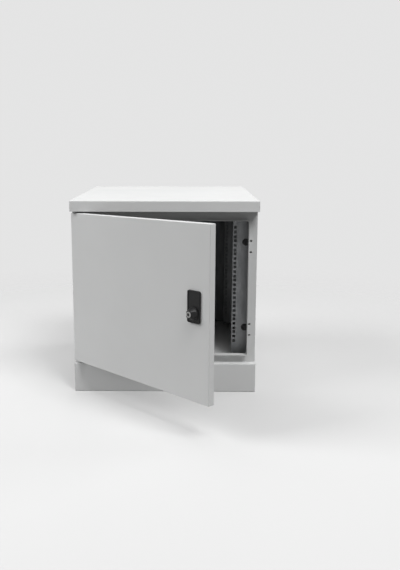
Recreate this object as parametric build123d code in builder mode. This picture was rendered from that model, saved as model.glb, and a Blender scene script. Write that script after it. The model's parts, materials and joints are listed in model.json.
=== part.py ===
from build123d import *
import os

# Outdoor nine-unit rack cabinet on a plinth, in millimetres. The origin is on the floor at the
# centre of the plinth, +X is to the right seen from the front, -Y is the front and +Z is up.

# Body and plinth
width = 600.0
depth = 600.0
plinth_height = 96.5
body_height = 515.5
plate_sheet = 2.0
panel_sheet = 1.5
panel_rim = 15.0
bend_radius = 2.5
cut_overrun = 1.0

# Plinth channels
plinth_side_flange = 45.0
plinth_cover_flange = 58.0
anchor_inset = 30.0
anchor_from_end = 100.0
anchor_radius = 6.0

# Base plate and its cable entries
base_bolt_from_end = 120.0
cover_bolt_from_side = 150.0
cover_bolt_inset = 15.0
cable_entry_count = 4
cable_entry_spacing = 110.0
cable_entry_radius = 20.0
cable_entry_from_rear = 100.0
entry_flange = 4.0
entry_flange_height = 3.0
entry_lower_flange = 2.5
entry_lower_height = 2.0
entry_membrane = 1.5
entry_clearance = 0.2

# Front frame with its gutter lip
frame_recess = 27.0
stile_width = 27.8
opening_bottom = 26.5
opening_top = 43.3
opening_corner = 7.0
lip_sheet = 1.5
lip_forward = 15.0
lip_back = 8.0

# Roof cap
roof_side_overhang = 2.5
roof_end_overhang = 14.0
roof_skirt_drop = 12.5
roof_front_height = 34.5
roof_rise = 30.5
roof_sheet = 1.5
roof_bend = 3.0
roof_return = 12.0
bearer_flange = 24.0
bearer_front_gap = 12.0
bearer_rear_gap = 10.0
roof_bolt_from_end = 120.0

# Rack rails, with the standard pattern of three square holes to a unit. At this width and rail width
# the two columns of holes lie 465.1 apart, as 19-inch equipment needs.
unit = 44.45
unit_hole_shares = (1 / 7, 1 / 2, 6 / 7)
rack_margin = 37.3
rail_width = 58.4
rail_hole = 9.5
rail_hole_edge = 8.95
rail_return = 30.0
rail_lip = 12.0
rail_end_gap = 14.0
front_rail_setback = 47.0
rear_rail_inset = 100.0

# Rubber grommets in the front rails
grommet_from_edge = 14.0
grommet_from_bottom = 91.25
grommet_from_top = 101.75
grommet_flange_radius = 11.8
grommet_neck_radius = 8.0
grommet_flange = 2.6
grommet_crown = 1.0
grommet_bore_radius = 4.5
grommet_clearance = 0.2

# Depth bars that carry the rails
bar_depth = 16.5
bar_crown = 36.0
bar_foot = 18.0
bar_from_end = 46.0
bar_end_gap = 6.0
bar_stud_from_end = 60.0

# Hinges
hinge_from_ends = 84.1
hinge_from_left = 8.0
hinge_from_front = 8.0
knuckle_radius = 6.0
knuckle_length = 28.0
ear_length = 11.7
knuckle_gap = 0.3
pin_radius = 3.0
pin_clearance = 0.05
pin_tail = 1.5
pin_chamfer = 0.6
arm_thickness = 4.0
foot_thickness = 2.5
foot_height = 50.0
foot_left = 3.0
foot_edge = 5.0
hinge_screw_spacing = 37.0
hinge_screw_inset = 20.0
hinge_slot_length = 8.0
hinge_slot_height = 5.4
leaf_thickness = 3.5
leaf_left = 5.5
leaf_right = 10.0
leaf_height = 92.0
leaf_stud_spacing = 76.0
leaf_stud_offset = 1.5
notch_gap = 2.0

# Door
door_side_gap = 1.5
door_top_gap = 18.0
door_thickness = 20.5
door_inset = 2.0
door_lift = 7.5
door_return = 12.0
door_bend = 2.0
door_open_angle = 43.6
gasket_width = 12.0
gasket_gap = 0.4
gasket_round = 3.0

# Lock on the door
lock_from_edge = 53.0
lock_above_middle = 3.5
lock_plate_width = 44.5
lock_plate_height = 88.0
lock_plate_below = 26.0
lock_plate_thickness = 4.5
lock_plate_corner = 5.0
lock_plate_round = 0.8
lock_rim_width = 2.4
lock_rim_height = 1.5
sleeve_radius = 11.8
sleeve_length = 17.0
sleeve_clearance = 0.2
lock_nut_across = 32.0
lock_nut_height = 6.0
knob_gap = 0.4
knob_radius = 18.8
knob_base = 3.5
knob_shoulder_radius = 16.6
knob_nose_radius = 11.0
knob_length = 15.0
knob_wing = 17.0
knob_scoop_radius = 16.0
knob_edge = 0.8
cylinder_radius = 7.0
cylinder_collar_radius = 8.2
cylinder_collar = 1.5
cylinder_depth = 9.0
cylinder_clearance = 0.05
plug_radius = 4.4
plug_clearance = 0.05
plug_end_gap = 0.3
plug_depth = 7.0
keyway_width = 1.6
keyway_height = 5.4
keyway_depth = 4.0
spindle_radius = 8.0
spindle_clearance = 0.05
spindle_square = 10.0
square_clearance = 0.1
cam_gap = 2.0
cam_thickness = 3.0
cam_radius = 15.0
cam_width = 20.0
cam_reach = 42.0
cam_screw_across = 13.0
cam_screw_reach = 12.0
thread_clearance = 0.05

# Fasteners
bolt_radius = 3.0
bolt_across = 10.0
bolt_head = 4.0
bolt_end = 3.0
stud_radius = 2.5
nut_across = 8.0
nut_height = 4.0
screw_radius = 2.0
screw_head_radius = 3.6
screw_head = 2.0
screw_end = 2.0
hole_clearance = 0.3
frame_stud_count = 4
frame_stud_inset = 40.0
rear_screw_count = 4
rear_screw_inset = 45.0

# Planes and levels that the pieces share
half_width = width / 2
front = -depth / 2
rear = depth / 2
body_bottom = plinth_height
body_top = body_bottom + body_height
base_top = body_bottom + plate_sheet
top_underside = body_top - plate_sheet
frame_face = front + frame_recess
frame_back = frame_face + plate_sheet
rear_inside = rear - panel_sheet
wall_inside = half_width - panel_sheet
rim_centre = wall_inside - panel_rim / 2 + panel_sheet / 2
shell_depth = rear_inside - frame_back
shell_middle = (rear_inside + frame_back) / 2
shell_height = top_underside - base_top
opening_half_width = half_width - stile_width
opening_height = body_height - opening_bottom - opening_top
opening_middle = body_bottom + opening_bottom + opening_height / 2
lip_front = frame_face - lip_forward
lip_rear = frame_back + lip_back
roof_bottom = body_top - roof_skirt_drop
roof_half_width = half_width + roof_side_overhang
roof_front = front - roof_end_overhang
roof_rear = rear + roof_end_overhang
rail_outer = wall_inside - bar_depth
rail_inner = rail_outer - rail_width
rail_hole_x = rail_inner + rail_hole_edge
rail_face = frame_face + front_rail_setback
rear_rail_face = rear - rear_rail_inset
rail_bottom = base_top + rail_end_gap
rail_length = shell_height - 2 * rail_end_gap
rail_top = rail_bottom + rail_length
rack_units = int((rail_length - 2 * rack_margin) // unit)
grommet_x = rail_outer - grommet_from_edge
grommet_heights = (rail_bottom + grommet_from_bottom, rail_top - grommet_from_top)
anchor_spacing = depth - 2 * anchor_from_end
base_bolt_spacing = depth - 2 * base_bolt_from_end
cover_bolt_spacing = width - 2 * cover_bolt_from_side
roof_bolt_spacing = depth - 2 * roof_bolt_from_end
door_width = width - 2 * door_side_gap
door_height = body_height - door_lift - door_top_gap
door_left = -door_width / 2
door_front = front + door_inset
door_back = door_front + door_thickness
door_inside = door_front + panel_sheet
door_bottom = body_bottom + door_lift
door_middle = door_bottom + door_height / 2
hinge_x = door_left + hinge_from_left
hinge_y = door_front + hinge_from_front
hinge_spread = opening_height - 2 * hinge_from_ends
hinge_heights = (opening_middle - hinge_spread / 2, opening_middle + hinge_spread / 2)
hinge_screw_x = half_width - hinge_screw_inset
lock_x = door_width / 2 - lock_from_edge
lock_z = door_middle + lock_above_middle
plate_face = door_front - lock_plate_thickness
knob_back = plate_face - knob_gap
knob_front = knob_back - knob_base - knob_length
cam_front = lip_rear + cam_gap
cam_back = cam_front + cam_thickness
bolt_hole = bolt_radius + hole_clearance
stud_hole = stud_radius + hole_clearance
screw_hole = screw_radius + hole_clearance

hinge_line = Axis((hinge_x, hinge_y, 0), (0, 0, 1))
lock_line = Axis((lock_x, 0, lock_z), (0, -1, 0))


def across(y):
    """Plane across the cabinet at depth y, seen from the front: x to the right, y up."""
    return Plane((0, y, 0), x_dir=(1, 0, 0), z_dir=(0, -1, 0))


def along(x, side):
    """Plane along a side of the cabinet at x, with its normal pointing outwards on that side."""
    return Plane((x, 0, 0), x_dir=(0, side, 0), z_dir=(side, 0, 0))


def spaced(count, low, high):
    """Heights of a row of fasteners, evenly spaced from low to high."""
    return [low + (high - low) * step / (count - 1) for step in range(count)]


def save(part, label, on_door=False):
    """Label a finished piece and write it, turned with the open door where it belongs to it."""
    placed = part.rotate(hinge_line, -door_open_angle) if on_door else part
    placed.label = label
    export_step(placed, f"parts/{label}.step")


def hex_fasteners(seats, flats, head, radius, reach, end=0):
    """Group of bolts or nuts: a hexagon on each seat, a shank reaching below it, an end above it."""
    with BuildPart() as group:
        for seat in seats:
            with BuildSketch(seat):
                RegularPolygon(flats / 2, 6, major_radius=False)
            extrude(amount=head)
            with BuildSketch(seat.offset(-reach)):
                Circle(radius)
            extrude(amount=reach + head + end)
    return group.part


def round_screws(seats, reach):
    """Group of pan-head screws on seats at one level, each with its shank reaching below it."""
    with BuildPart() as group:
        for seat in seats:
            with BuildSketch(seat):
                Circle(screw_head_radius)
            extrude(amount=screw_head)
            with BuildSketch(seat.offset(-reach)):
                Circle(screw_radius)
            extrude(amount=reach)
        head_tops = group.faces().group_by(Axis(seats[0].origin, seats[0].z_dir))[-1]
        chamfer(head_tops.edges(), screw_head / 2)
    return group.part


os.makedirs("parts", exist_ok=True)

# Plinth: two side channels that stand on the floor, and a cover channel at the front and the rear
anchor_x = half_width - anchor_inset
cover_bolt_y = -frame_back - cover_bolt_inset
for side, side_name in ((-1, "left"), (1, "right")):
    web = Plane((side * half_width, 0, 0), x_dir=(-side, 0, 0), z_dir=(0, side, 0))
    with BuildPart() as plinth_side:
        with BuildSketch(web):
            with Locations((plinth_side_flange / 2, plinth_height / 2)):
                Rectangle(plinth_side_flange, plinth_height)
            with Locations(((plinth_side_flange + plate_sheet) / 2, plinth_height / 2)):
                Rectangle(
                    plinth_side_flange - plate_sheet,
                    plinth_height - 2 * plate_sheet,
                    mode=Mode.SUBTRACT,
                )
        extrude(amount=depth / 2 - plinth_cover_flange, both=True)
        with BuildSketch(web):
            with Locations((plate_sheet / 2, plinth_height / 2)):
                Rectangle(plate_sheet, plinth_height)
        extrude(amount=depth / 2, both=True)
        with Locations((side * anchor_x, 0, plate_sheet / 2)):
            with GridLocations(0, anchor_spacing, 1, 2):
                Cylinder(anchor_radius, plate_sheet + cut_overrun, mode=Mode.SUBTRACT)
        with Locations((side * rim_centre, 0, plinth_height)):
            with GridLocations(0, base_bolt_spacing, 1, 2):
                Hole(bolt_hole, depth=plate_sheet + cut_overrun)
    save(plinth_side.part, f"plinth_{side_name}_side")

for end, end_name in ((-1, "front"), (1, "rear")):
    web = Plane((0, end * depth / 2, 0), x_dir=(0, -end, 0), z_dir=(-end, 0, 0))
    with BuildPart() as plinth_cover:
        with BuildSketch(web) as section:
            with Locations((plinth_cover_flange / 2, plinth_height / 2)):
                Rectangle(plinth_cover_flange, plinth_height)
            fillet(section.vertices().sort_by(Axis.X)[:2], bend_radius)
            with Locations(((plinth_cover_flange + plate_sheet) / 2, plinth_height / 2)):
                Rectangle(
                    plinth_cover_flange - plate_sheet,
                    plinth_height - 2 * plate_sheet,
                    mode=Mode.SUBTRACT,
                )
        extrude(amount=half_width - plate_sheet, both=True)
        with Locations((0, end * cover_bolt_y, plinth_height)):
            with GridLocations(cover_bolt_spacing, 0, 2, 1):
                Hole(bolt_hole, depth=plate_sheet + cut_overrun)
    save(plinth_cover.part, f"plinth_{end_name}_cover")

# Base plate with a row of round cable entries near the rear
with BuildPart() as base_plate:
    with BuildSketch(Plane.XY.offset(body_bottom)):
        with Locations((0, shell_middle)):
            Rectangle(width, shell_depth)
        with Locations((0, rear - cable_entry_from_rear)):
            with GridLocations(cable_entry_spacing, 0, cable_entry_count, 1):
                Circle(cable_entry_radius, mode=Mode.SUBTRACT)
        with GridLocations(2 * rim_centre, base_bolt_spacing, 2, 2):
            Circle(bolt_hole, mode=Mode.SUBTRACT)
        with GridLocations(cover_bolt_spacing, 2 * cover_bolt_y, 2, 2):
            Circle(bolt_hole, mode=Mode.SUBTRACT)
    extrude(amount=plate_sheet)
save(base_plate.part, "base_plate")

# Rubber membranes that close the cable entries
with BuildPart() as cable_membranes:
    entry_neck = cable_entry_radius - entry_clearance
    for entry in GridLocations(cable_entry_spacing, 0, cable_entry_count, 1).locations:
        entry_x = entry.position.X
        entry_y = rear - cable_entry_from_rear
        with BuildSketch(Plane((entry_x, entry_y, base_top), x_dir=(1, 0, 0), z_dir=(0, -1, 0))):
            with BuildLine():
                Polyline(
                    (0, entry_membrane),
                    (entry_neck - entry_flange, entry_membrane),
                    (entry_neck - entry_flange / 2, entry_flange_height),
                    (cable_entry_radius + entry_flange / 2, entry_flange_height),
                    (cable_entry_radius + entry_flange, 0),
                    (entry_neck, 0),
                    (entry_neck, -plate_sheet),
                    (cable_entry_radius + entry_lower_flange, -plate_sheet),
                    (entry_neck, -plate_sheet - entry_lower_height),
                    (entry_neck - entry_flange, -plate_sheet - entry_lower_height),
                    (entry_neck - entry_flange, 0),
                    (0, 0),
                    close=True,
                )
            make_face()
        revolve(axis=Axis((entry_x, entry_y, 0), (0, 0, 1)))
save(cable_membranes.part, "cable_membranes")

# Bolts from inside the cabinet through the base plate into the plinth
side_seats = [
    Plane((side * rim_centre, y * base_bolt_spacing / 2, base_top + panel_sheet))
    for side in (-1, 1)
    for y in (-1, 1)
]
cover_seats = [
    Plane((x * cover_bolt_spacing / 2, end * cover_bolt_y, base_top)) for x in (-1, 1) for end in (-1, 1)
]
base_stack = 2 * plate_sheet + bolt_end
side_bolts = hex_fasteners(side_seats, bolt_across, bolt_head, bolt_radius, base_stack + panel_sheet)
save(side_bolts, "plinth_side_bolts")
cover_bolts = hex_fasteners(cover_seats, bolt_across, bolt_head, bolt_radius, base_stack)
save(cover_bolts, "plinth_cover_bolts")

# Side panels, each a shallow folded pan that opens to the inside
frame_studs = spaced(frame_stud_count, base_top + frame_stud_inset, top_underside - frame_stud_inset)
rear_screws = spaced(rear_screw_count, base_top + rear_screw_inset, top_underside - rear_screw_inset)
for side, side_name in ((-1, "left"), (1, "right")):
    outer = along(side * half_width, side)
    inner = along(side * wall_inside, side)
    with BuildPart() as side_panel:
        with BuildSketch(outer):
            with Locations((side * shell_middle, (base_top + top_underside) / 2)):
                Rectangle(shell_depth, shell_height)
        extrude(amount=-panel_rim)
        fillet(side_panel.faces().sort_by(Axis.X)[-1 if side > 0 else 0].edges(), bend_radius)
        with BuildSketch(inner):
            with Locations((side * shell_middle, (base_top + top_underside) / 2)):
                Rectangle(shell_depth - 2 * panel_sheet, shell_height - 2 * panel_sheet)
        extrude(amount=-panel_rim, mode=Mode.SUBTRACT)
        with BuildSketch(across(frame_back)):
            with Locations(*[(side * rim_centre, z) for z in frame_studs]):
                Circle(stud_hole)
        extrude(amount=-panel_sheet, mode=Mode.SUBTRACT)
        with BuildSketch(across(rear_inside)):
            with Locations(*[(side * rim_centre, z) for z in rear_screws]):
                Circle(screw_hole)
        extrude(amount=panel_sheet, mode=Mode.SUBTRACT)
        with Locations((side * rim_centre, 0, top_underside)):
            with GridLocations(0, roof_bolt_spacing, 1, 2):
                Hole(bolt_hole, depth=shell_height)
    save(side_panel.part, f"{side_name}_side_panel")

# Rear panel, folded inwards at its top and bottom
rear_rim_width = width - 2 * panel_rim - 2 * cut_overrun
with BuildPart() as rear_panel:
    with BuildSketch(across(rear)):
        with Locations((0, (body_bottom + body_top) / 2)):
            Rectangle(width, body_height)
        with Locations(*[(side * rim_centre, z) for side in (-1, 1) for z in rear_screws]):
            Circle(screw_hole, mode=Mode.SUBTRACT)
    extrude(amount=panel_sheet)
    with BuildSketch(across(rear_inside)):
        for rim_z in (base_top + panel_sheet / 2, top_underside - panel_sheet / 2):
            with Locations((0, rim_z)):
                Rectangle(rear_rim_width, panel_sheet)
    extrude(amount=panel_rim)
save(rear_panel.part, "rear_panel")
rear_seats = [
    Plane((side * rim_centre, rear, z), x_dir=(-1, 0, 0), z_dir=(0, 1, 0))
    for side in (-1, 1)
    for z in rear_screws
]
save(round_screws(rear_seats, 2 * panel_sheet + screw_end), "rear_panel_screws")

# Top plate under the roof
with BuildPart() as top_plate:
    with BuildSketch(Plane.XY.offset(top_underside)):
        with Locations((0, shell_middle)):
            Rectangle(width, shell_depth)
        with GridLocations(2 * rim_centre, roof_bolt_spacing, 2, 2):
            Circle(bolt_hole, mode=Mode.SUBTRACT)
    extrude(amount=plate_sheet)
save(top_plate.part, "top_plate")

# Front frame: a plate round the door opening, with a gutter lip that stands out of it
lip_width = 2 * (opening_half_width + lip_sheet)
lip_height = opening_height + 2 * lip_sheet
with BuildPart() as front_frame:
    with BuildSketch(across(frame_back)):
        with Locations((0, (body_bottom + body_top) / 2)):
            Rectangle(width, body_height)
        with Locations((0, opening_middle)):
            RectangleRounded(2 * opening_half_width, opening_height, opening_corner, mode=Mode.SUBTRACT)
        for hinge_z in hinge_heights:
            with Locations((0, hinge_z)):
                with GridLocations(2 * hinge_screw_x, hinge_screw_spacing, 2, 2):
                    SlotOverall(hinge_slot_length, hinge_slot_height, mode=Mode.SUBTRACT)
    extrude(amount=plate_sheet)
    with BuildSketch(across(lip_rear)):
        with Locations((0, opening_middle)):
            RectangleRounded(lip_width, lip_height, opening_corner + lip_sheet)
            RectangleRounded(2 * opening_half_width, opening_height, opening_corner, mode=Mode.SUBTRACT)
    extrude(amount=lip_rear - lip_front)
save(front_frame.part, "front_frame")
frame_seats = [
    Plane((side * rim_centre, frame_back + panel_sheet, z), x_dir=(-1, 0, 0), z_dir=(0, 1, 0))
    for side in (-1, 1)
    for z in frame_studs
]
save(hex_fasteners(frame_seats, nut_across, nut_height, stud_radius, panel_sheet, bolt_end), "frame_nuts")

# Roof cap: a wedge of folded sheet, open below, with returns along its front and rear skirts
roof_points = [
    (roof_front, roof_bottom),
    (roof_rear, roof_bottom),
    (roof_rear, roof_bottom + roof_front_height + roof_rise),
    (roof_front, roof_bottom + roof_front_height),
]
with BuildPart() as roof_cap:
    with BuildSketch(Plane.YZ):
        Polygon(*roof_points, align=None)
    extrude(amount=roof_half_width, both=True)
    top_face = roof_cap.faces().sort_by(Axis.Z)[-1]
    corner_edges = roof_cap.edges().filter_by(Axis.Z)
    fillet(top_face.edges() + corner_edges, roof_bend)
    with BuildSketch(Plane.YZ):
        Polygon(*roof_points, align=None)
        offset(amount=-roof_sheet, kind=Kind.INTERSECTION, mode=Mode.REPLACE)
        with Locations(((roof_front + roof_rear) / 2, roof_bottom)):
            Rectangle(roof_rear - roof_front - 2 * roof_sheet, 2 * roof_sheet)
    extrude(amount=roof_half_width - roof_sheet, both=True, mode=Mode.SUBTRACT)
    with BuildSketch(Plane.XY.offset(roof_bottom)):
        for edge_y in (roof_front + roof_sheet + roof_return / 2, roof_rear - roof_sheet - roof_return / 2):
            with Locations((0, edge_y)):
                Rectangle(2 * (roof_half_width - roof_sheet), roof_return)
    extrude(amount=roof_sheet)
save(roof_cap.part, "roof_cap")

# Bearers between the top plate and the roof, cut to its slope
roof_slope = roof_rise / (roof_rear - roof_front)
roof_drop = roof_sheet * (1 + roof_slope**2) ** 0.5
bearer_front = frame_back + bearer_front_gap
bearer_rear = rear_inside - bearer_rear_gap


def under_roof(y):
    """Height of the roof's inner face at depth y."""
    return roof_bottom + roof_front_height + roof_slope * (y - roof_front) - roof_drop


bearer_points = [
    (bearer_front, body_top),
    (bearer_rear, body_top),
    (bearer_rear, under_roof(bearer_rear)),
    (bearer_front, under_roof(bearer_front)),
]
top_flange_points = [
    (bearer_front, under_roof(bearer_front) - plate_sheet),
    (bearer_rear, under_roof(bearer_rear) - plate_sheet),
    (bearer_rear, under_roof(bearer_rear)),
    (bearer_front, under_roof(bearer_front)),
]
for side, side_name in ((-1, "left"), (1, "right")):
    outside = Plane((side * half_width, 0, 0), x_dir=(0, 1, 0), z_dir=(1, 0, 0))
    with BuildPart() as bearer:
        with BuildSketch(outside):
            Polygon(*bearer_points, align=None)
        extrude(amount=-side * plate_sheet)
        with BuildSketch(outside):
            Polygon(*top_flange_points, align=None)
        extrude(amount=-side * bearer_flange)
        with BuildSketch(Plane.XY.offset(body_top)):
            with Locations((side * (half_width - bearer_flange / 2), (bearer_front + bearer_rear) / 2)):
                Rectangle(bearer_flange, bearer_rear - bearer_front)
            with Locations((side * rim_centre, 0)):
                with GridLocations(0, roof_bolt_spacing, 1, 2):
                    Circle(bolt_hole, mode=Mode.SUBTRACT)
        extrude(amount=plate_sheet)
    save(bearer.part, f"{side_name}_roof_bearer")
roof_seats = [
    Plane((side * rim_centre, y * roof_bolt_spacing / 2, top_underside - panel_sheet), z_dir=(0, 0, -1))
    for side in (-1, 1)
    for y in (-1, 1)
]
roof_stack = panel_sheet + 2 * plate_sheet + bolt_end
save(hex_fasteners(roof_seats, bolt_across, bolt_head, bolt_radius, roof_stack), "roof_bolts")

# Depth bars: hat sections along each wall, which carry the rails
bar_front = frame_back + panel_sheet + bar_end_gap
bar_rear = rear_inside - panel_sheet - bar_end_gap
bar_levels = (("lower", base_top + bar_from_end, 1), ("upper", top_underside - bar_from_end, -1))
bar_stud_places = (bar_front + bar_stud_from_end, bar_rear - bar_stud_from_end)
bar_seats = []
for side, side_name in ((-1, "left"), (1, "right")):
    for level_name, bar_z, inward in bar_levels:
        with BuildPart() as depth_bar:
            with BuildSketch(across(bar_rear)):
                with Locations((side * (rail_outer + wall_inside) / 2, bar_z)):
                    Rectangle(wall_inside - rail_outer, bar_crown)
                with Locations((side * (wall_inside - plate_sheet / 2), bar_z)):
                    Rectangle(plate_sheet, bar_crown + 2 * bar_foot)
                with Locations((side * (rail_outer + plate_sheet + wall_inside) / 2, bar_z)):
                    Rectangle(
                        wall_inside - rail_outer - plate_sheet,
                        bar_crown - 2 * plate_sheet,
                        mode=Mode.SUBTRACT,
                    )
            extrude(amount=bar_rear - bar_front)
            foot_z = bar_z + inward * (bar_crown + bar_foot) / 2
            with BuildSketch(along(side * wall_inside, side)):
                with Locations(*[(side * y, foot_z) for y in bar_stud_places]):
                    Circle(stud_hole)
            extrude(amount=-plate_sheet, mode=Mode.SUBTRACT)
            with BuildSketch(along(side * rail_outer, side)):
                with Locations((side * (rail_face + rail_return / 2), bar_z)):
                    Circle(bolt_hole)
                with Locations((side * (rear_rail_face - rail_return / 2), bar_z)):
                    Circle(bolt_hole)
            extrude(amount=plate_sheet, mode=Mode.SUBTRACT)
        save(depth_bar.part, f"{level_name}_{side_name}_depth_bar")
        bar_seats += [
            Plane(
                (side * (wall_inside - plate_sheet), y, foot_z),
                x_dir=(0, 1, 0),
                z_dir=(-side, 0, 0),
            )
            for y in bar_stud_places
        ]
save(hex_fasteners(bar_seats, nut_across, nut_height, stud_radius, plate_sheet, bolt_end), "depth_bar_nuts")

# Rack rails: folded sections with the standard holes, at the front and the rear of both sides
rail_holes = [
    rail_bottom + rack_margin + unit * (step + share)
    for step in range(rack_units)
    for share in unit_hole_shares
]
rail_seats = []
for side, side_name in ((-1, "left"), (1, "right")):
    for end_name, face_y, inward in (("front", rail_face, 1), ("rear", rear_rail_face, -1)):
        with BuildPart() as rail:
            with BuildSketch(Plane.XY.offset(rail_bottom)) as section:
                with Locations((side * (rail_inner + rail_outer) / 2, face_y + inward * plate_sheet / 2)):
                    Rectangle(rail_width, plate_sheet)
                with Locations((side * (rail_outer - plate_sheet / 2), face_y + inward * rail_return / 2)):
                    Rectangle(plate_sheet, rail_return)
                with Locations((side * (rail_inner + plate_sheet / 2), face_y + inward * rail_lip / 2)):
                    Rectangle(plate_sheet, rail_lip)
                fillet(section.vertices().group_by(Axis.Y)[0 if inward > 0 else -1], bend_radius)
            extrude(amount=rail_length)
            with BuildSketch(across(face_y)):
                with Locations(*[(side * rail_hole_x, z) for z in rail_holes]):
                    Rectangle(rail_hole, rail_hole)
                if end_name == "front":
                    with Locations(*[(side * grommet_x, z) for z in grommet_heights]):
                        Circle(grommet_neck_radius + grommet_clearance)
            extrude(amount=-inward * plate_sheet, mode=Mode.SUBTRACT)
            bolt_y = face_y + inward * rail_return / 2
            with BuildSketch(along(side * rail_outer, side)):
                with Locations(*[(side * bolt_y, bar_z) for _, bar_z, _ in bar_levels]):
                    Circle(bolt_hole)
            extrude(amount=-plate_sheet, mode=Mode.SUBTRACT)
        save(rail.part, f"{end_name}_{side_name}_rail")
        rail_seats += [
            Plane((side * (rail_outer - plate_sheet), bolt_y, bar_z), x_dir=(0, 1, 0), z_dir=(-side, 0, 0))
            for _, bar_z, _ in bar_levels
        ]
rail_bolts = hex_fasteners(rail_seats, bolt_across, bolt_head, bolt_radius, 2 * plate_sheet + bolt_end)
save(rail_bolts, "rail_bolts")

# Rubber grommets pressed into the front rails
with BuildPart() as rail_grommets:
    for side in (-1, 1):
        for grommet_z in grommet_heights:
            middle = Plane((side * grommet_x, rail_face, grommet_z), x_dir=(1, 0, 0), z_dir=(0, 0, -1))
            with BuildSketch(middle):
                with BuildLine():
                    Polyline(
                        (0, grommet_crown),
                        (grommet_bore_radius, grommet_crown),
                        (grommet_neck_radius, grommet_flange),
                        (grommet_flange_radius - grommet_crown, grommet_flange),
                        (grommet_flange_radius, grommet_crown),
                        (grommet_flange_radius, 0),
                        (grommet_neck_radius, 0),
                        (grommet_neck_radius, -plate_sheet),
                        (grommet_flange_radius, -plate_sheet),
                        (grommet_neck_radius, -plate_sheet - grommet_flange),
                        (0, -plate_sheet - grommet_flange),
                        close=True,
                    )
                make_face()
            revolve(axis=Axis((side * grommet_x, 0, grommet_z), (0, 1, 0)))
save(rail_grommets.part, "rail_grommets")

# Hinges: a leaf with one knuckle on the frame, a leaf with two ears inside the door, and a pin
foot_face = frame_face - foot_thickness
foot_start = hinge_x - foot_left
foot_end = foot_edge - hinge_screw_x
leaf_face = door_inside + leaf_thickness
knuckle_room = knuckle_radius + knuckle_gap
ear_low = knuckle_length / 2 + knuckle_gap
ear_high = ear_low + ear_length
frame_screw_seats = []
leaf_nut_seats = []
for hinge_z, level_name in zip(hinge_heights, ("lower", "upper")):
    with BuildPart() as frame_leaf:
        with BuildSketch(Plane((hinge_x, hinge_y, hinge_z))):
            Circle(knuckle_radius)
            with Locations((knuckle_radius - arm_thickness / 2, (foot_face - hinge_y) / 2)):
                Rectangle(arm_thickness, foot_face - hinge_y)
            Circle(pin_radius + pin_clearance, mode=Mode.SUBTRACT)
        extrude(amount=knuckle_length / 2, both=True)
        with BuildSketch(across(frame_face)):
            with Locations(((foot_start + foot_end) / 2, hinge_z)):
                RectangleRounded(foot_end - foot_start, foot_height, foot_thickness)
            with Locations((-hinge_screw_x, hinge_z)):
                with GridLocations(0, hinge_screw_spacing, 1, 2):
                    Circle(screw_hole, mode=Mode.SUBTRACT)
        extrude(amount=foot_thickness)
    save(frame_leaf.part, f"{level_name}_hinge_frame_leaf")
    frame_screw_seats += [
        across(foot_face).shift_origin((-hinge_screw_x, foot_face, hinge_z + end * hinge_screw_spacing / 2))
        for end in (-1, 1)
    ]

    with BuildPart() as door_leaf:
        for end in (-1, 1):
            with BuildSketch(Plane((hinge_x, hinge_y, hinge_z + end * (ear_low + ear_high) / 2))):
                Circle(knuckle_radius)
                with Locations((0, (door_inside - hinge_y) / 2)):
                    Rectangle(2 * knuckle_radius, hinge_y - door_inside)
                Circle(pin_radius + pin_clearance, mode=Mode.SUBTRACT)
            extrude(amount=ear_length / 2, both=True)
        with BuildSketch(across(door_inside)):
            with Locations((hinge_x + (leaf_right - leaf_left) / 2, hinge_z)):
                RectangleRounded(leaf_left + leaf_right, leaf_height, leaf_thickness)
            with Locations((hinge_x + (knuckle_room - leaf_left) / 2, hinge_z)):
                Rectangle(knuckle_room + leaf_left, 2 * ear_low, mode=Mode.SUBTRACT)
            with Locations((hinge_x + leaf_stud_offset, hinge_z)):
                with GridLocations(0, leaf_stud_spacing, 1, 2):
                    Circle(stud_hole, mode=Mode.SUBTRACT)
        extrude(amount=-leaf_thickness)
        with Locations((hinge_x, hinge_y, hinge_z)):
            Cylinder(pin_radius + pin_clearance, leaf_height, mode=Mode.SUBTRACT)
    save(door_leaf.part, f"{level_name}_hinge_door_leaf", on_door=True)
    leaf_nut_seats += [
        Plane(
            (hinge_x + leaf_stud_offset, leaf_face, hinge_z + end * leaf_stud_spacing / 2),
            x_dir=(-1, 0, 0),
            z_dir=(0, 1, 0),
        )
        for end in (-1, 1)
    ]

    with BuildPart() as hinge_pin:
        with BuildSketch(Plane((hinge_x, hinge_y, hinge_z))):
            Circle(pin_radius)
        extrude(amount=ear_high + pin_tail, both=True)
        chamfer(hinge_pin.edges().group_by(Axis.Z)[0] + hinge_pin.edges().group_by(Axis.Z)[-1], pin_chamfer)
    save(hinge_pin.part, f"{level_name}_hinge_pin", on_door=True)
save(round_screws(frame_screw_seats, foot_thickness + plate_sheet + screw_end), "hinge_frame_screws")
leaf_nuts = hex_fasteners(leaf_nut_seats, nut_across, nut_height, stud_radius, leaf_thickness, screw_end)
save(leaf_nuts, "hinge_door_nuts", on_door=True)

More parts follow.
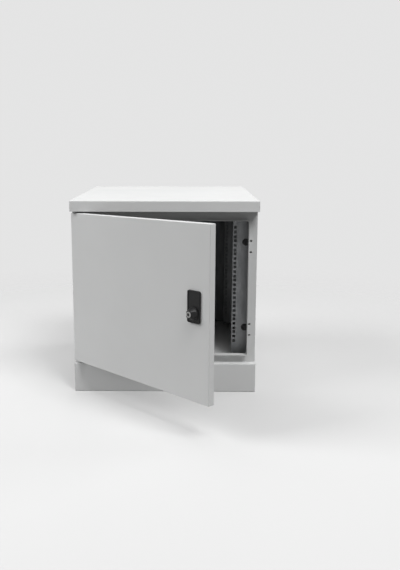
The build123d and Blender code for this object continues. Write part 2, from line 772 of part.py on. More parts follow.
# Door: a folded pan with returns, notched at its hinge edge so that the frame leaves can pass
notch_height = foot_height + 2 * notch_gap
with BuildPart() as door_panel:
    with BuildSketch(across(door_back)):
        with Locations((0, door_middle)):
            Rectangle(door_width, door_height)
    extrude(amount=door_thickness)
    outer_edges = door_panel.faces().sort_by(Axis.Y)[0].edges()
    fillet(outer_edges + door_panel.edges().filter_by(Axis.Y), door_bend)
    with BuildSketch(across(door_inside)):
        with Locations((0, door_middle)):
            Rectangle(door_width - 2 * panel_sheet, door_height - 2 * panel_sheet)
    extrude(amount=door_inside - door_back + panel_sheet, mode=Mode.SUBTRACT)
    with BuildSketch(across(door_back)):
        with Locations((0, door_middle)):
            Rectangle(door_width - 2 * door_return, door_height - 2 * door_return)
    extrude(amount=panel_sheet, mode=Mode.SUBTRACT)
    with BuildSketch(across(door_back + cut_overrun)):
        for hinge_z in hinge_heights:
            with Locations((door_left + door_return / 2, hinge_z)):
                Rectangle(door_return + 2 * cut_overrun, notch_height)
    extrude(amount=door_back + cut_overrun - door_inside, mode=Mode.SUBTRACT)
    with BuildSketch(across(door_inside)):
        with Locations((lock_x, lock_z)):
            Circle(sleeve_radius + sleeve_clearance)
    extrude(amount=panel_sheet, mode=Mode.SUBTRACT)
save(door_panel.part, "door_panel", on_door=True)

# Foamed gasket on the inside of the door, facing the edge of the gutter lip
gasket_outer = gasket_width / 2 + lip_sheet / 2
gasket_inner = gasket_width / 2 - lip_sheet / 2
with BuildPart() as door_gasket:
    with BuildSketch(across(door_inside)):
        with Locations((0, opening_middle)):
            RectangleRounded(
                2 * (opening_half_width + gasket_outer),
                opening_height + 2 * gasket_outer,
                opening_corner + gasket_outer,
            )
            RectangleRounded(
                2 * (opening_half_width - gasket_inner),
                opening_height - 2 * gasket_inner,
                opening_corner / 2,
                mode=Mode.SUBTRACT,
            )
    extrude(amount=door_inside - lip_front + gasket_gap)
    fillet(door_gasket.faces().sort_by(Axis.Y)[-1].edges(), gasket_round)
save(door_gasket.part, "door_gasket", on_door=True)

# Lock plate with a raised rim, and the threaded sleeve that passes through the door
lock_plate_z = lock_z - lock_plate_below + lock_plate_height / 2
with BuildPart() as lock_plate:
    with BuildSketch(across(door_front)):
        with Locations((lock_x, lock_plate_z)):
            RectangleRounded(lock_plate_width, lock_plate_height, lock_plate_corner)
    extrude(amount=lock_plate_thickness + lock_rim_height)
    fillet(lock_plate.faces().sort_by(Axis.Y)[0].edges(), lock_plate_round)
    with BuildSketch(across(plate_face)):
        with Locations((lock_x, lock_plate_z)):
            RectangleRounded(
                lock_plate_width - 2 * lock_rim_width,
                lock_plate_height - 2 * lock_rim_width,
                lock_plate_corner - lock_rim_width,
            )
    extrude(amount=lock_rim_height, mode=Mode.SUBTRACT)
    with BuildSketch(across(door_front)):
        with Locations((lock_x, lock_z)):
            Circle(sleeve_radius)
    extrude(amount=-sleeve_length)
    with BuildSketch(across(door_front)):
        with Locations((lock_x, lock_z)):
            Circle(spindle_radius + spindle_clearance)
    extrude(amount=sleeve_length + cut_overrun, both=True, mode=Mode.SUBTRACT)
save(lock_plate.part, "lock_plate", on_door=True)

# Nut that clamps the lock to the door's skin
with BuildPart() as lock_nut:
    with BuildSketch(across(door_inside)):
        with Locations((lock_x, lock_z)):
            RegularPolygon(lock_nut_across / 2, 6, major_radius=False)
            Circle(sleeve_radius + sleeve_clearance, mode=Mode.SUBTRACT)
    extrude(amount=-lock_nut_height)
save(lock_nut.part, "lock_nut", on_door=True)

# Knob: a tapered boss on a round base, scooped on both sides to leave an upright grip
knob_section = Plane((lock_x, knob_back, lock_z), x_dir=(1, 0, 0), z_dir=(0, 0, -1))
with BuildPart() as lock_knob:
    with BuildSketch(knob_section):
        with BuildLine():
            Polyline(
                (0, 0),
                (knob_radius, 0),
                (knob_radius, knob_base - knob_edge),
                (knob_radius - knob_edge, knob_base),
                (knob_shoulder_radius, knob_base),
                (knob_nose_radius, knob_base + knob_length),
                (0, knob_base + knob_length),
                close=True,
            )
        make_face()
    revolve(axis=lock_line)
    with BuildSketch(Plane.XY.offset(lock_z)):
        for side in (-1, 1):
            scoop_x = lock_x + side * (knob_wing / 2 + knob_scoop_radius)
            with Locations((scoop_x, knob_back - knob_base - knob_scoop_radius)):
                Circle(knob_scoop_radius)
    extrude(amount=knob_radius, both=True, mode=Mode.SUBTRACT)
    with BuildSketch(across(knob_front)):
        with Locations((lock_x, lock_z)):
            Circle(cylinder_radius + cylinder_clearance)
    extrude(amount=-cylinder_depth, mode=Mode.SUBTRACT)
save(lock_knob.part, "lock_knob", on_door=True)

# Lock cylinder in the nose of the knob, and the plug that its key turns
with BuildPart() as lock_cylinder:
    with BuildSketch(across(knob_front)):
        with Locations((lock_x, lock_z)):
            Circle(cylinder_collar_radius)
    extrude(amount=cylinder_collar)
    chamfer(lock_cylinder.faces().sort_by(Axis.Y)[0].edges(), cylinder_collar / 2)
    with BuildSketch(across(knob_front)):
        with Locations((lock_x, lock_z)):
            Circle(cylinder_radius)
    extrude(amount=-cylinder_depth)
    with BuildSketch(across(knob_front - cylinder_collar)):
        with Locations((lock_x, lock_z)):
            Circle(plug_radius + plug_clearance)
    extrude(amount=-plug_depth - plug_end_gap, mode=Mode.SUBTRACT)
save(lock_cylinder.part, "lock_cylinder", on_door=True)

with BuildPart() as key_plug:
    with BuildSketch(across(knob_front - cylinder_collar)):
        with Locations((lock_x, lock_z)):
            Circle(plug_radius)
    extrude(amount=-plug_depth)
    with BuildSketch(across(knob_front - cylinder_collar)):
        with Locations((lock_x, lock_z)):
            Rectangle(keyway_width, keyway_height)
    extrude(amount=-keyway_depth, mode=Mode.SUBTRACT)
save(key_plug.part, "key_plug", on_door=True)

# Spindle from the knob through the sleeve, with a square end for the latch cam
with BuildPart() as lock_spindle:
    with BuildSketch(across(knob_back)):
        with Locations((lock_x, lock_z)):
            Circle(spindle_radius)
    extrude(amount=knob_back - cam_front)
    with BuildSketch(across(cam_front)):
        with Locations((lock_x, lock_z)):
            Rectangle(spindle_square, spindle_square)
    extrude(amount=-cam_thickness)
    with BuildSketch(across(cam_back)):
        with Locations((lock_x, lock_z)):
            Circle(bolt_radius + thread_clearance)
    extrude(amount=cam_screw_reach + thread_clearance, mode=Mode.SUBTRACT)
save(lock_spindle.part, "lock_spindle", on_door=True)

# Latch cam: a tongue that hangs down when unlocked and turns behind the frame when locked
cam_square = spindle_square + square_clearance
with BuildPart() as latch_cam:
    with BuildSketch(across(cam_back)):
        with Locations((lock_x, lock_z)):
            Circle(cam_radius)
        with Locations((lock_x, lock_z - cam_reach / 2)):
            Rectangle(cam_width, cam_reach)
        with Locations((lock_x, lock_z)):
            Rectangle(cam_square, cam_square, mode=Mode.SUBTRACT)
    extrude(amount=cam_thickness)
    tip_edges = latch_cam.edges().filter_by(Axis.Y).group_by(Axis.Z)[0]
    fillet(tip_edges, cam_width / 4)
save(latch_cam.part, "latch_cam", on_door=True)
cam_seat = Plane((lock_x, cam_back, lock_z), x_dir=(-1, 0, 0), z_dir=(0, 1, 0))
cam_screw = hex_fasteners([cam_seat], cam_screw_across, bolt_head, bolt_radius, cam_screw_reach)
save(cam_screw, "cam_screw", on_door=True)
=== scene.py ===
import json
import math
import bmesh
import bpy
from mathutils import Matrix, Vector


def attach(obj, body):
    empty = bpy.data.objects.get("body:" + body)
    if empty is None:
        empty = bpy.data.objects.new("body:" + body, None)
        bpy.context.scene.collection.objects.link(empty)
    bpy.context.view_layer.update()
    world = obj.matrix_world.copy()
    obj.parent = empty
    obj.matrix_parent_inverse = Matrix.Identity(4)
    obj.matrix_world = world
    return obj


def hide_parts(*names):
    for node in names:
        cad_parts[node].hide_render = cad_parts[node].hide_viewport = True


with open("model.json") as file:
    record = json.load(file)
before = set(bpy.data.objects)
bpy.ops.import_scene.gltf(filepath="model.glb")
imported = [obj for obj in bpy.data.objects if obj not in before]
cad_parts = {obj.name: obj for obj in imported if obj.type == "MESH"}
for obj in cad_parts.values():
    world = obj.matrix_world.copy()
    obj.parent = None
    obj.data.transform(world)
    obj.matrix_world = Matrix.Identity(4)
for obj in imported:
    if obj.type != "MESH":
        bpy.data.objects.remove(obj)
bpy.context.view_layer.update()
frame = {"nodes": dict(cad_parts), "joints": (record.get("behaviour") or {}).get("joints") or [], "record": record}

# Camera, fitted to the edges in the photograph: image places in pixels, the rest in metres and radians
image_width = 400
image_height = 570
focal_pixels = 619.2
centre_pixel = (175.5, 275.3)
camera_place = Vector((0.0677, -2.278, 0.7259))
camera_yaw = -0.01646
camera_pitch = 0.16636
camera_roll = 0.00102
sensor_size = 36.0

# Finishes, as the two shades between which each varies. The dark zinc grey on the inner side of the lined sheet is
# bare zinc darkened as painted shade of the cabinet's inside
shades = {
    "grey_paint": ((0.565, 0.570, 0.568), (0.590, 0.594, 0.592)),
    # Plinth paint lighter than the body's: painted light, standing in for the light from below that the plinth
    # gets
    "plinth_paint": ((0.615, 0.620, 0.618), (0.640, 0.644, 0.642)),
    # Dark zinc grey of the lining: bare zinc, darkened to paint the shade inside the cabinet
    "zinc_and_painted_shade": ((0.130, 0.135, 0.140), (0.180, 0.185, 0.190)),
    "zinc_sheet": ((0.180, 0.185, 0.190), (0.250, 0.255, 0.260)),
    "hinge_casting": ((0.46, 0.47, 0.48), (0.54, 0.55, 0.56)),
    "plated_steel": ((0.55, 0.55, 0.54), (0.66, 0.66, 0.65)),
    "black_plastic": ((0.007, 0.007, 0.0073), (0.012, 0.012, 0.0124)),
    "bright_metal": ((0.30, 0.30, 0.295), (0.36, 0.36, 0.355)),
    "dark_metal": ((0.045, 0.045, 0.044), (0.070, 0.070, 0.068)),
    "black_rubber": ((0.014, 0.014, 0.014), (0.026, 0.026, 0.026)),
    "gasket_foam": ((0.020, 0.020, 0.021), (0.040, 0.040, 0.041)),
}
coat_shine = 0.35
cabinet_middle = (0.0, 0.0, 0.36)

# Band of a noise's values over which a colour or a gloss runs from its low to its high end
band_start = 0.3
band_end = 0.7

# Light and surroundings: lamps as azimuth from the front, elevation, distance, size and power
white = (1.0, 1.0, 1.0, 1.0)
ambient_level = 0.11
backdrop_level = 0.78
floor_radius = 2.6
floor_sides = 96
floor_fade_start = 0.5
floor_pale = (0.63, 0.63, 0.63, 1.0)
floor_bounce = (0.40, 0.40, 0.40, 1.0)
floor_roughness = 0.9
floor_shine = 0.1
light_aim = Vector((0.0, -0.1, 0.35))
lamps = {
    "top_light": (0.0, 86.0, 4.5, 3.0, 52.0),
    "front_light": (12.0, 58.0, 5.0, 1.6, 40.0),
    "right_light": (37.0, 53.0, 5.0, 1.9, 137.0),
    "left_light": (-75.0, 35.0, 5.0, 2.6, 175.0),
    "side_light": (108.0, 25.0, 5.0, 2.6, 70.0),
    "rear_light": (180.0, 16.0, 5.0, 2.6, 74.0),
}
fill_lamps = ("left_light", "side_light", "rear_light")

# Fasteners in metres: a head or nut on its seat, a shank below it, and the end of a stud above its nut
m6_bolt = {"across": 0.010, "head": 0.004, "shank": 0.003, "pitch": 0.0010}
cam_bolt = {"across": 0.013, "head": 0.004, "shank": 0.003, "pitch": 0.0010}
m5_nut = {"across": 0.008, "head": 0.004, "shank": 0.0025, "pitch": 0.0008, "end": 0.003}
hinge_nut = {**m5_nut, "end": 0.002}
m4_screw = {"across": 0.0025, "head": 0.002, "shank": 0.002, "pitch": 0.0007, "radius": 0.0036}
ring_points = 24
thread_depth_share = 0.12
thread_steps = 4
tip_share = 0.75
chamfer_share = 0.95
chamfer_slope = math.tan(math.radians(30.0))
chamfer_steps = 4
dome_steps = 5

# Dish of a bolt, mouth of a nut, and edge and socket of a screw, as shares of the head, shank or socket
dish_rim_share = 0.86
dish_floor_share = 0.78
dish_height_share = 0.92
mouth_share = 1.16
mouth_height_share = 0.9
head_edge_share = 0.15
underside_share = 0.97
socket_rim_share = 1.12
socket_wall_share = 0.45
socket_floor_share = 0.35
socket_middle_share = 0.2

# Cable seals in metres: a flange of the head's height on the sheet, a lip under it and a stepped membrane
cable_seal = {
    "neck": 0.0198, "head": 0.003, "rim": 0.024, "lower_rim": 0.0225, "sheet": 0.002, "wall": 0.004,
}
seal_points = 64
seal_steps = 4
tread_share = 0.92
riser_share = 0.88
under_middle_share = 0.25
crown_share = 0.125

# Limits for shading an edge as smooth and for joining points that lie together
smooth_limit = math.radians(32.0)
merge_distance = 1e-5


class Finish:
    """A material whose colour, gloss and relief come from nodes in the object's own coordinates."""

    def __init__(self, name, **constants):
        self.material = bpy.data.materials.new(name)
        self.material.use_nodes = True
        self.tree = self.material.node_tree
        self.shader = self.tree.nodes["Principled BSDF"]
        self.coordinates = self.tree.nodes.new("ShaderNodeTexCoord")
        for socket, value in constants.items():
            self.shader.inputs[socket.replace("_", " ")].default_value = value

    def join(self, source, target):
        self.tree.links.new(source, target)

    def noise(self, size, detail=2.0, stretch=(1.0, 1.0, 1.0)):
        """Soft noise whose features are about size metres across, drawn out along an axis by stretch."""
        mapping = self.tree.nodes.new("ShaderNodeMapping")
        mapping.inputs["Scale"].default_value = tuple(1 / (size * factor) for factor in stretch)
        texture = self.tree.nodes.new("ShaderNodeTexNoise")
        texture.inputs["Scale"].default_value = 1.0
        texture.inputs["Detail"].default_value = detail
        self.join(self.coordinates.outputs["Object"], mapping.inputs["Vector"])
        self.join(mapping.outputs["Vector"], texture.inputs["Vector"])
        return texture.outputs["Fac"]

    def ramp(self, source, shade):
        """Colour that runs between the two shades of that name with the source."""
        ramp = self.tree.nodes.new("ShaderNodeValToRGB")
        for element, place, colour in zip(ramp.color_ramp.elements, (band_start, band_end), shades[shade]):
            element.position = place
            element.color = (*colour, 1.0)
        self.join(source, ramp.inputs["Fac"])
        return ramp.outputs["Color"]

    def colours(self, colour):
        """Base colour of the surface."""
        self.join(colour, self.shader.inputs["Base Color"])

    def facing(self, point):
        """One on the faces that look towards the point, zero on the others."""
        towards = self.tree.nodes.new("ShaderNodeVectorMath")
        towards.operation = "SUBTRACT"
        towards.inputs[0].default_value = point
        self.join(self.coordinates.outputs["Object"], towards.inputs[1])
        product = self.tree.nodes.new("ShaderNodeVectorMath")
        product.operation = "DOT_PRODUCT"
        self.join(towards.outputs["Vector"], product.inputs[0])
        self.join(self.coordinates.outputs["Normal"], product.inputs[1])
        above = self.tree.nodes.new("ShaderNodeMath")
        above.operation = "GREATER_THAN"
        above.inputs[1].default_value = 0.0
        self.join(product.outputs["Value"], above.inputs[0])
        return above.outputs["Value"]

    def choose(self, share, first, second):
        """Mix of two colours, from the first at share 0 to the second at share 1."""
        mix = self.tree.nodes.new("ShaderNodeMixRGB")
        self.join(share, mix.inputs["Fac"])
        self.join(first, mix.inputs["Color1"])
        self.join(second, mix.inputs["Color2"])
        return mix.outputs["Color"]

    def gloss(self, source, low, high):
        """Roughness that runs from low to high with the source."""
        spread = self.tree.nodes.new("ShaderNodeMapRange")
        spread.inputs["From Min"].default_value = band_start
        spread.inputs["From Max"].default_value = band_end
        spread.inputs["To Min"].default_value = low
        spread.inputs["To Max"].default_value = high
        self.join(source, spread.inputs["Value"])
        self.join(spread.outputs["Result"], self.shader.inputs["Roughness"])

    def relief(self, source, depth, edge=0.0):
        """Bump of the given depth in metres, over edges that are softened by the given radius."""
        bump = self.tree.nodes.new("ShaderNodeBump")
        bump.inputs["Strength"].default_value = 1.0
        bump.inputs["Distance"].default_value = depth
        self.join(source, bump.inputs["Height"])
        if edge:
            bevel = self.tree.nodes.new("ShaderNodeBevel")
            bevel.inputs["Radius"].default_value = edge
            self.join(bevel.outputs["Normal"], bump.inputs["Normal"])
        self.join(bump.outputs["Normal"], self.shader.inputs["Normal"])


def coat_colour(coat, shade):
    """Colour of a powder coat, with faint broad clouds."""
    return coat.ramp(coat.noise(size=0.25, detail=3.0), shade)


def coat_skin(coat):
    """Satin gloss and fine orange-peel skin of a powder coat."""
    coat.gloss(coat.noise(size=0.06, detail=4.0), low=0.50, high=0.60)
    coat.relief(coat.noise(size=0.0016), depth=0.00005, edge=0.0007)


def zinc_colour(zinc, shade):
    """Colour of zinc-coated sheet, clouded along its rolling direction."""
    return zinc.ramp(zinc.noise(size=0.02, detail=5.0, stretch=(1.0, 1.0, 3.0)), shade)


def powder_coat(name):
    """Light grey satin powder coat."""
    coat = Finish(name, Specular_IOR_Level=coat_shine)
    coat.colours(coat_colour(coat, name))
    coat_skin(coat)
    return coat.material


def lined_coat_with_painted_shade(name):
    """Powder coat outside, and on the faces that look into the cabinet bare zinc-coated sheet in a darkened grey
    that is painted shade of the interior.
    """
    coat = Finish(name, Specular_IOR_Level=coat_shine)
    # Faces that look into the cabinet, which get the dark grey of painted shade
    inside = coat.facing(cabinet_middle)
    coat.colours(coat.choose(inside, coat_colour(coat, "grey_paint"), zinc_colour(coat, "zinc_and_painted_shade")))
    coat_skin(coat)
    return coat.material


def zinc_sheet(name):
    """Dull zinc-plated sheet with faint rolling marks."""
    zinc = Finish(name, Metallic=0.6)
    zinc.colours(zinc_colour(zinc, name))
    zinc.gloss(zinc.noise(size=0.03, detail=4.0), low=0.42, high=0.55)
    zinc.relief(zinc.noise(size=0.0008, detail=3.0, stretch=(1.0, 1.0, 12.0)), depth=0.00002, edge=0.0005)
    return zinc.material


def cast_zinc(name):
    """Zinc die casting, matt with a fine cast skin."""
    zinc = Finish(name, Metallic=0.9)
    zinc.colours(zinc.ramp(zinc.noise(size=0.01, detail=4.0), name))
    zinc.gloss(zinc.noise(size=0.008, detail=3.0), low=0.45, high=0.58)
    zinc.relief(zinc.noise(size=0.0009, detail=4.0), depth=0.00004, edge=0.0004)
    return zinc.material


def plated_steel(name):
    """Bright zinc plating on fasteners, with a fine uneven skin."""
    steel = Finish(name, Metallic=1.0)
    steel.colours(steel.ramp(steel.noise(size=0.006, detail=4.0), name))
    steel.gloss(steel.noise(size=0.004, detail=3.0), low=0.25, high=0.38)
    steel.relief(steel.noise(size=0.0005), depth=0.00002, edge=0.0003)
    return steel.material


def moulded_plastic(name):
    """Black moulded plastic with a fine spark-eroded grain."""
    plastic = Finish(name, Specular_IOR_Level=0.28)
    plastic.colours(plastic.ramp(plastic.noise(size=0.02, detail=3.0), name))
    plastic.gloss(plastic.noise(size=0.01, detail=3.0), low=0.40, high=0.50)
    plastic.relief(plastic.noise(size=0.0006, detail=3.0), depth=0.00003, edge=0.0004)
    return plastic.material


def worked_metal(name):
    """Satin metal of the lock cylinder and its plug, with faint scratches from keys."""
    metal = Finish(name, Metallic=1.0)
    metal.colours(metal.ramp(metal.noise(size=0.004, detail=3.0), name))
    metal.gloss(metal.noise(size=0.002, detail=4.0), low=0.28, high=0.40)
    metal.relief(metal.noise(size=0.0008, detail=4.0, stretch=(1.0, 1.0, 6.0)), depth=0.00001, edge=0.0003)
    return metal.material


def rubber(name):
    """Black rubber with a matt moulded skin."""
    skin = Finish(name)
    skin.colours(skin.ramp(skin.noise(size=0.012, detail=3.0), name))
    skin.gloss(skin.noise(size=0.006, detail=3.0), low=0.62, high=0.75)
    skin.relief(skin.noise(size=0.001, detail=3.0), depth=0.00005, edge=0.0004)
    return skin.material


def foam(name):
    """Foamed-in-place gasket with small closed pores."""
    skin = Finish(name)
    clouds = skin.noise(size=0.01, detail=3.0)
    skin.colours(skin.ramp(clouds, name))
    skin.gloss(clouds, low=0.75, high=0.88)
    skin.relief(skin.noise(size=0.0018, detail=4.0), depth=0.0003)
    return skin.material


makers = {
    "grey_paint": powder_coat,
    # The plinth's lighter paint is painted light from below
    "plinth_paint": powder_coat,
    "lined_sheet": lined_coat_with_painted_shade,
    "zinc_sheet": zinc_sheet,
    "hinge_casting": cast_zinc,
    "plated_steel": plated_steel,
    "black_plastic": moulded_plastic,
    "bright_metal": worked_metal,
    "dark_metal": worked_metal,
    "black_rubber": rubber,
    "gasket_foam": foam,
}
finishes = {slot: make(slot) for slot, make in makers.items()}
slots = {subpart["node"]: subpart["material_slot"] for subpart in frame["record"]["subparts"]}
for node, slot in slots.items():
    frame["nodes"][node].data.materials.clear()
    frame["nodes"][node].data.materials.append(finishes[slot])


def hexagon(across):
    """Radius of a hexagon, given across its flats, at each point of a ring."""
    turns = (2 * math.pi * point / ring_points for point in range(ring_points))
    return [across / 2 / math.cos(turn % (math.pi / 3) - math.pi / 6) for turn in turns]


def circle(radius, points=ring_points):
    """The same radius at each point of a ring."""
    return [radius] * points


def thread(low, high, size):
    """Rings of a thread from one height to another, with its crest at the shank's radius."""
    pitch = size["pitch"]
    count = math.ceil((high - low) / pitch * thread_steps)
    rings = []
    for step in range(count + 1):
        height = low + (high - low) * step / count
        phases = ((height / pitch - point / ring_points) % 1.0 for point in range(ring_points))
        radii = [size["shank"] * (1 - thread_depth_share * abs(2 * phase - 1)) for phase in phases]
        rings.append((height, radii))
    return rings


def threaded_shank(reach, size):
    """Rings of a threaded shank that ends the given reach below the seat."""
    tip = (-reach, circle(tip_share * size["shank"]))
    return [tip] + thread(-reach + size["pitch"] / 2, 0.0, size)


def chamfered_hexagon(height, across, both_ends):
    """Rings of a hexagonal head or nut, with its corners turned off at the top or at both ends."""
    flats = hexagon(across)
    narrow = chamfer_share * across / 2
    rise = (max(flats) - narrow) * chamfer_slope
    drops = [rise * step / chamfer_steps for step in range(chamfer_steps + 1)]
    cones = [(drop, [min(flat, narrow + drop / chamfer_slope) for flat in flats]) for drop in drops]
    bottom = cones if both_ends else [(0.0, flats)]
    return bottom + [(height - drop, cone) for drop, cone in reversed(cones)]


def bolt_rings(reach, above, size):
    """Hexagon-head bolt: threaded shank below the seat, head with a dished top above it."""
    top = chamfer_share * size["across"] / 2
    rings = threaded_shank(reach, size)
    rings += chamfered_hexagon(above, size["across"], False)
    rings.append((above, circle(dish_rim_share * top)))
    rings.append((dish_height_share * above, circle(dish_floor_share * top)))
    return rings


def nut_rings(reach, above, size):
    """Nut on a weld stud: plain stud below the seat, nut, and the threaded end of the stud above it."""
    shank = size["shank"]
    head = size["head"]
    rings = [(-reach, circle(shank)), (0.0, circle(shank))]
    rings += chamfered_hexagon(head, size["across"], True)
    rings.append((head, circle(mouth_share * shank)))
    rings += thread(mouth_height_share * head, above - size["pitch"] / 2, size)
    rings.append((above, circle(tip_share * shank)))
    return rings


def screw_rings(reach, above, size):
    """Button-head screw with a hexagon socket, on a threaded shank."""
    radius = size["radius"]
    socket = hexagon(size["across"])
    rim = socket_rim_share * max(socket)
    edge = head_edge_share * above
    rings = threaded_shank(reach, size)
    rings.append((0.0, circle(underside_share * radius)))
    for step in range(dome_steps + 1):
        turn = math.pi / 2 * step / dome_steps
        width = rim + (radius - rim) * math.cos(turn)
        rings.append((edge + (above - edge) * math.sin(turn), circle(width)))
    rings += [(above, socket), (socket_wall_share * above, socket)]
    rings.append((socket_floor_share * above, circle(socket_middle_share * rim)))
    return rings


def seal_rings(reach, above, size):
    """Cable seal: lip below the sheet, rounded flange above it, and a membrane that rises in steps."""
    neck = size["neck"]
    rim = size["rim"]
    inside = neck - size["wall"]
    sheet = size["sheet"]
    path = [(0.0, under_middle_share * inside), (0.0, inside), (-reach, inside), (-reach, neck)]
    path += [(-sheet, size["lower_rim"]), (-sheet, neck), (0.0, neck), (0.0, rim)]
    for step in range(1, dome_steps + 1):
        turn = math.pi / 2 * step / dome_steps
        path.append((above * math.sin(turn), rim - above * (1 - math.cos(turn))))
    path += [(above, (inside + neck) / 2), (above / 2, inside)]
    step_rise = above / 2 / seal_steps
    for step in range(seal_steps):
        height = above / 2 + step * step_rise
        width = inside * (1 - step / seal_steps)
        path += [(height, tread_share * width), (height + step_rise, riser_share * width)]
    path.append((above, crown_share * inside))
    return [(height, circle(radius, seal_points)) for height, radius in path]


def add_rings(shape, place, rings):
    """Add one closed solid to the shape, skinned over rings of points round the place's own Z axis."""
    rows = []
    for height, radii in rings:
        row = []
        for point, radius in enumerate(radii):
            turn = 2 * math.pi * point / len(radii)
            corner = Vector((radius * math.cos(turn), radius * math.sin(turn), height))
            row.append(shape.verts.new(place @ corner))
        rows.append(row)
    for below, above in zip(rows, rows[1:]):
        for point in range(len(below)):
            after = (point + 1) % len(below)
            shape.faces.new((below[point], below[after], above[after], above[point]))
    shape.faces.new(reversed(rows[0]))
    shape.faces.new(rows[-1])


def solids(node):
    """Points of each separate solid of a CAD node."""
    shape = bmesh.new()
    shape.from_mesh(frame["nodes"][node].data)
    bmesh.ops.remove_doubles(shape, verts=shape.verts, dist=merge_distance)
    groups = []
    for start in shape.verts:
        if start.tag:
            continue
        start.tag = True
        group = [start]
        for vertex in group:
            for link in vertex.link_edges:
                other = link.other_vert(vertex)
                if not other.tag:
                    other.tag = True
                    group.append(other)
        groups.append([vertex.co.copy() for vertex in group])
    shape.free()
    return groups


def add_piece(name, shape, body, node):
    """Make the shape a piece that moves with the body and stands for the CAD node."""
    mesh = bpy.data.meshes.new(name)
    shape.to_mesh(mesh)
    shape.free()
    mesh.shade_smooth()
    mesh.set_sharp_from_angle(angle=smooth_limit)
    mesh.materials.append(finishes[slots[node]])
    piece = bpy.data.objects.new(name, mesh)
    bpy.context.scene.collection.objects.link(piece)
    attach(piece, body)
    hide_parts(node)


# Directions in which heads point: with to_middle, each across the cabinet to its middle
up = (0.0, 0.0, 1.0)
down = (0.0, 0.0, -1.0)
forward = (0.0, -1.0, 0.0)
rearward = (0.0, 1.0, 0.0)
to_middle = None
knob_axis = next(joint["axis"] for joint in frame["joints"] if joint["name"] == "knob_turn")
door_inward = [-part for part in knob_axis]


def add_turned(node, body, direction, rings_of, size):
    """Stand detailed pieces for the plain solids of a node, with their heads in the direction given."""
    shape = bmesh.new()
    for points in solids(node):
        centre = sum(points, Vector()) / len(points)
        across = Vector((-math.copysign(1.0, centre.x), 0.0, 0.0))
        axis = across if direction is to_middle else Vector(direction)
        facing = axis.to_track_quat("Z", "Y").to_matrix()
        local = [facing.transposed() @ point for point in points]
        low = Vector([min(point[i] for point in local) for i in range(3)])
        high = Vector([max(point[i] for point in local) for i in range(3)])
        seat = high.z - size.get("end", 0.0) - size["head"]
        origin = facing @ Vector(((low.x + high.x) / 2, (low.y + high.y) / 2, seat))
        place = Matrix.Translation(origin) @ facing.to_4x4()
        # The rings reach as far below and above the seat as the plain solid does
        add_rings(shape, place, rings_of(seat - low.z, high.z - seat, size))
    add_piece(node + "_turned", shape, body, node)


add_turned("plinth_side_bolts", "cabinet", up, bolt_rings, m6_bolt)
add_turned("plinth_cover_bolts", "cabinet", up, bolt_rings, m6_bolt)
add_turned("roof_bolts", "cabinet", down, bolt_rings, m6_bolt)
add_turned("rail_bolts", "cabinet", to_middle, bolt_rings, m6_bolt)
add_turned("cable_membranes", "cabinet", up, seal_rings, cable_seal)
add_turned("frame_nuts", "cabinet", rearward, nut_rings, m5_nut)
add_turned("depth_bar_nuts", "cabinet", to_middle, nut_rings, m5_nut)
add_turned("rear_panel_screws", "cabinet", rearward, screw_rings, m4_screw)
add_turned("hinge_frame_screws", "cabinet", forward, screw_rings, m4_screw)
add_turned("hinge_door_nuts", "door", door_inward, nut_rings, hinge_nut)
add_turned("cam_screw", "knob", door_inward, bolt_rings, cam_bolt)


def add_lamp(name, azimuth, elevation, distance, size, power):
    """Square soft light, placed in degrees and aimed at the cabinet. Fill lamps don't show in gloss."""
    turn = math.radians(azimuth)
    rise = math.radians(elevation)
    back = Vector((math.sin(turn) * math.cos(rise), -math.cos(turn) * math.cos(rise), math.sin(rise)))
    lamp = bpy.data.lights.new(name, "AREA")
    lamp.size = size
    lamp.energy = power
    holder = bpy.data.objects.new(name, lamp)
    holder.visible_camera = False
    holder.visible_glossy = name not in fill_lamps
    facing = back.to_track_quat("Z", "Y").to_matrix().to_4x4()
    holder.matrix_world = Matrix.Translation(light_aim + distance * back) @ facing
    bpy.context.scene.collection.objects.link(holder)


def background_ray(tree):
    """One for rays from the camera, off gloss and through glass, which see the pale surroundings."""
    path = tree.nodes.new("ShaderNodeLightPath")
    seen = path.outputs["Is Camera Ray"]
    for ray in ("Is Glossy Ray", "Is Transmission Ray"):
        either = tree.nodes.new("ShaderNodeMath")
        either.operation = "MAXIMUM"
        tree.links.new(seen, either.inputs[0])
        tree.links.new(path.outputs[ray], either.inputs[1])
        seen = either.outputs["Value"]
    return seen


def add_world():
    """Even ambient light, seen by the camera, in gloss and through glass as a pale backdrop."""
    world = bpy.data.worlds.new("studio")
    bpy.context.scene.world = world
    world.use_nodes = True
    tree = world.node_tree
    ambient = tree.nodes["Background"]
    ambient.inputs["Strength"].default_value = ambient_level
    ambient.inputs["Color"].default_value = white
    backdrop = tree.nodes.new("ShaderNodeBackground")
    backdrop.inputs["Strength"].default_value = backdrop_level
    backdrop.inputs["Color"].default_value = white
    mix = tree.nodes.new("ShaderNodeMixShader")
    tree.links.new(background_ray(tree), mix.inputs["Fac"])
    tree.links.new(ambient.outputs["Background"], mix.inputs[1])
    tree.links.new(backdrop.outputs["Background"], mix.inputs[2])
    tree.links.new(mix.outputs["Shader"], tree.nodes["World Output"].inputs["Surface"])


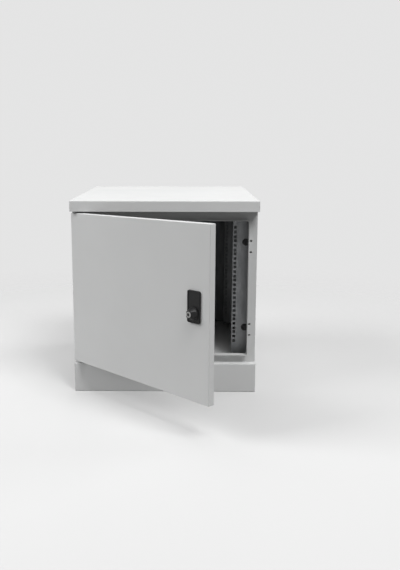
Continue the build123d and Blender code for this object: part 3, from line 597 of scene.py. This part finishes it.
def floor_material():
    """Pale floor that turns clear towards its rim, and throws less light on the cabinet than it shows."""
    material = bpy.data.materials.new("floor")
    material.use_nodes = True
    tree = material.node_tree
    shader = tree.nodes["Principled BSDF"]
    shader.inputs["Roughness"].default_value = floor_roughness
    shader.inputs["Specular IOR Level"].default_value = floor_shine
    tone = tree.nodes.new("ShaderNodeMixRGB")
    tone.inputs["Color1"].default_value = floor_bounce
    tone.inputs["Color2"].default_value = floor_pale
    tree.links.new(background_ray(tree), tone.inputs["Fac"])
    tree.links.new(tone.outputs["Color"], shader.inputs["Base Color"])
    place = tree.nodes.new("ShaderNodeTexCoord")
    distance = tree.nodes.new("ShaderNodeVectorMath")
    distance.operation = "LENGTH"
    fade = tree.nodes.new("ShaderNodeMapRange")
    fade.interpolation_type = "SMOOTHSTEP"
    fade.inputs["From Min"].default_value = floor_fade_start
    fade.inputs["From Max"].default_value = floor_radius
    clear = tree.nodes.new("ShaderNodeBsdfTransparent")
    mix = tree.nodes.new("ShaderNodeMixShader")
    tree.links.new(place.outputs["Object"], distance.inputs[0])
    tree.links.new(distance.outputs["Value"], fade.inputs["Value"])
    tree.links.new(fade.outputs["Result"], mix.inputs["Fac"])
    tree.links.new(shader.outputs["BSDF"], mix.inputs[1])
    tree.links.new(clear.outputs["BSDF"], mix.inputs[2])
    tree.links.new(mix.outputs["Shader"], tree.nodes["Material Output"].inputs["Surface"])
    return material


def add_floor():
    """Round floor that fades into the backdrop."""
    bpy.ops.mesh.primitive_circle_add(vertices=floor_sides, radius=floor_radius, fill_type="NGON")
    floor = bpy.context.object
    floor.name = "studio_floor"
    floor.data.materials.append(floor_material())


def add_camera():
    """Camera at the photograph's place, with the shift that its framing needs."""
    view = Vector((
        math.sin(camera_yaw) * math.cos(camera_pitch),
        math.cos(camera_yaw) * math.cos(camera_pitch),
        -math.sin(camera_pitch),
    ))
    level_side = Vector((math.cos(camera_yaw), -math.sin(camera_yaw), 0.0))
    level_top = level_side.cross(view)
    side = math.cos(camera_roll) * level_side + math.sin(camera_roll) * level_top
    top = math.cos(camera_roll) * level_top - math.sin(camera_roll) * level_side
    camera = bpy.data.cameras.new("camera")
    camera.sensor_fit = "VERTICAL"
    camera.sensor_height = sensor_size
    camera.lens = sensor_size * focal_pixels / image_height
    camera.shift_x = (image_width / 2 - centre_pixel[0]) / image_height
    camera.shift_y = (centre_pixel[1] - image_height / 2) / image_height
    holder = bpy.data.objects.new("camera", camera)
    facing = Matrix((side, top, -view)).transposed().to_4x4()
    holder.matrix_world = Matrix.Translation(camera_place) @ facing
    bpy.context.scene.collection.objects.link(holder)
    bpy.context.scene.camera = holder


add_world()
add_floor()
for name, settings in lamps.items():
    add_lamp(name, *settings)
add_camera()
bpy.context.scene.view_settings.view_transform = "Standard"
